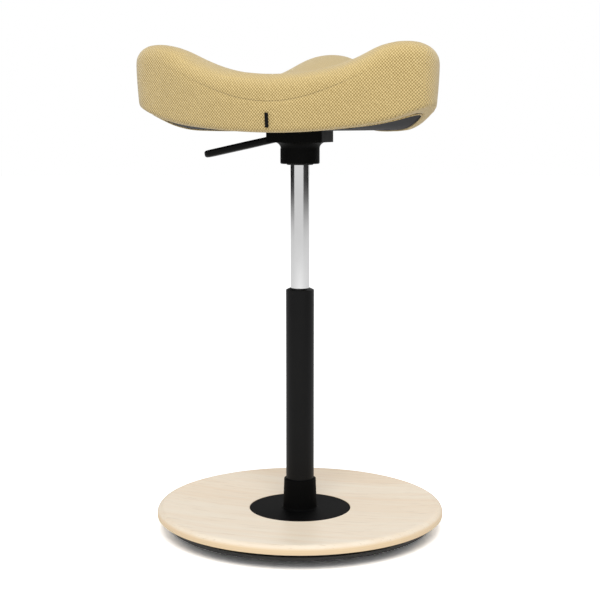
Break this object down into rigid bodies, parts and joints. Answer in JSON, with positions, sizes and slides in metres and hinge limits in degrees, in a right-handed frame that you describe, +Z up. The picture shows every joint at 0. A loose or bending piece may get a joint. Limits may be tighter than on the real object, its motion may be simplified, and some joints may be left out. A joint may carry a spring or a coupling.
{
  "type": "saddle stool",
  "caption": "Swivel saddle stool with a three-lobed padded seat, gas-lift column with hand lever, and a round wooden disc base on a shallow rocker.",
  "frame": {"origin": "on the floor, under the column's axis", "axes": "+Z up along the column, +Y towards the seat's nose, the lift lever along -X"},
  "size_m": [0.4414, 0.432, 0.7203],
  "materials": {
    "pale_wood": "clear matt lacquer, fine straight grain",
    "rocker_black": "moulded, matt",
    "tread_rubber": "matt rubber",
    "zinc_steel": "zinc plated",
    "bearing_brass": "plain",
    "black_coat": "fine matt powder coat",
    "black_cast": "cast and powder coated",
    "black_plastic": "moulded, satin",
    "piston_alloy": "machined",
    "chrome_tube": "polished",
    "board_ply": "pressed beech plywood",
    "charcoal_shell": "moulded, fine texture",
    "seat_foam": "moulded foam",
    "seat_fabric": "straw-yellow wool weave",
    "tag_black": "folded woven tape"
  },
  "bodies": {
    "base": {"rocker_plate": "rocker_black", "tread_pad": "tread_rubber", "rocker_screws": "zinc_steel", "base_disc": "pale_wood", "hub_plate": "black_coat", "hub_bolts": "zinc_steel", "column_socket": "black_coat", "column_tube": "black_coat", "column_floor": "zinc_steel", "guide_bush": "black_plastic", "race_lower": "zinc_steel", "thrust_balls": "zinc_steel", "ball_cage": "bearing_brass"},
    "swivel_rod": {"race_upper": "zinc_steel", "bump_rubber": "tread_rubber", "piston_rod": "zinc_steel", "rod_washer": "zinc_steel", "rod_clip": "zinc_steel", "piston": "piston_alloy", "piston_seal": "tread_rubber"},
    "lift": {"gas_cylinder": "chrome_tube", "rod_gland": "black_plastic", "valve_body": "piston_alloy", "seat_mechanism": "black_cast", "boss_collar": "black_plastic", "mechanism_bolts": "zinc_steel", "lever_pin": "zinc_steel", "seat_board": "board_ply", "threaded_inserts": "zinc_steel", "under_shell": "charcoal_shell", "shell_screws": "black_coat", "seat_foam": "seat_foam", "seat_cover": "seat_fabric", "label_tag": "tag_black"},
    "lever": {"lift_lever": "black_plastic"},
    "button": {"release_button": "zinc_steel"}
  },
  "joints": [
    {"name": "seat_swivel", "type": "hinge", "parent": "base", "child": "swivel_rod", "pos_m": [0, 0, 0.041], "axis": [0, 0, 1], "continuous": true},
    {"name": "seat_height", "type": "slide", "parent": "swivel_rod", "child": "lift", "axis": [0, 0, 1], "range_m": [-0.178, 0.08]},
    {"name": "lever_lift", "type": "hinge", "parent": "lift", "child": "lever", "pos_m": [-0.033, 0, 0.5885], "axis": [0, 1, 0], "range_deg": [0, 6], "stiffness_Nm_per_rad": 2, "springref_deg": -2.86},
    {"name": "button_press", "type": "slide", "parent": "lift", "child": "button", "axis": [0, 0, -1], "range_m": [0, 0.004]}
  ],
  "couplings": [
    {"joint": "button_press", "follows": "lever_lift", "m_per_rad": 0.036}
  ]
}
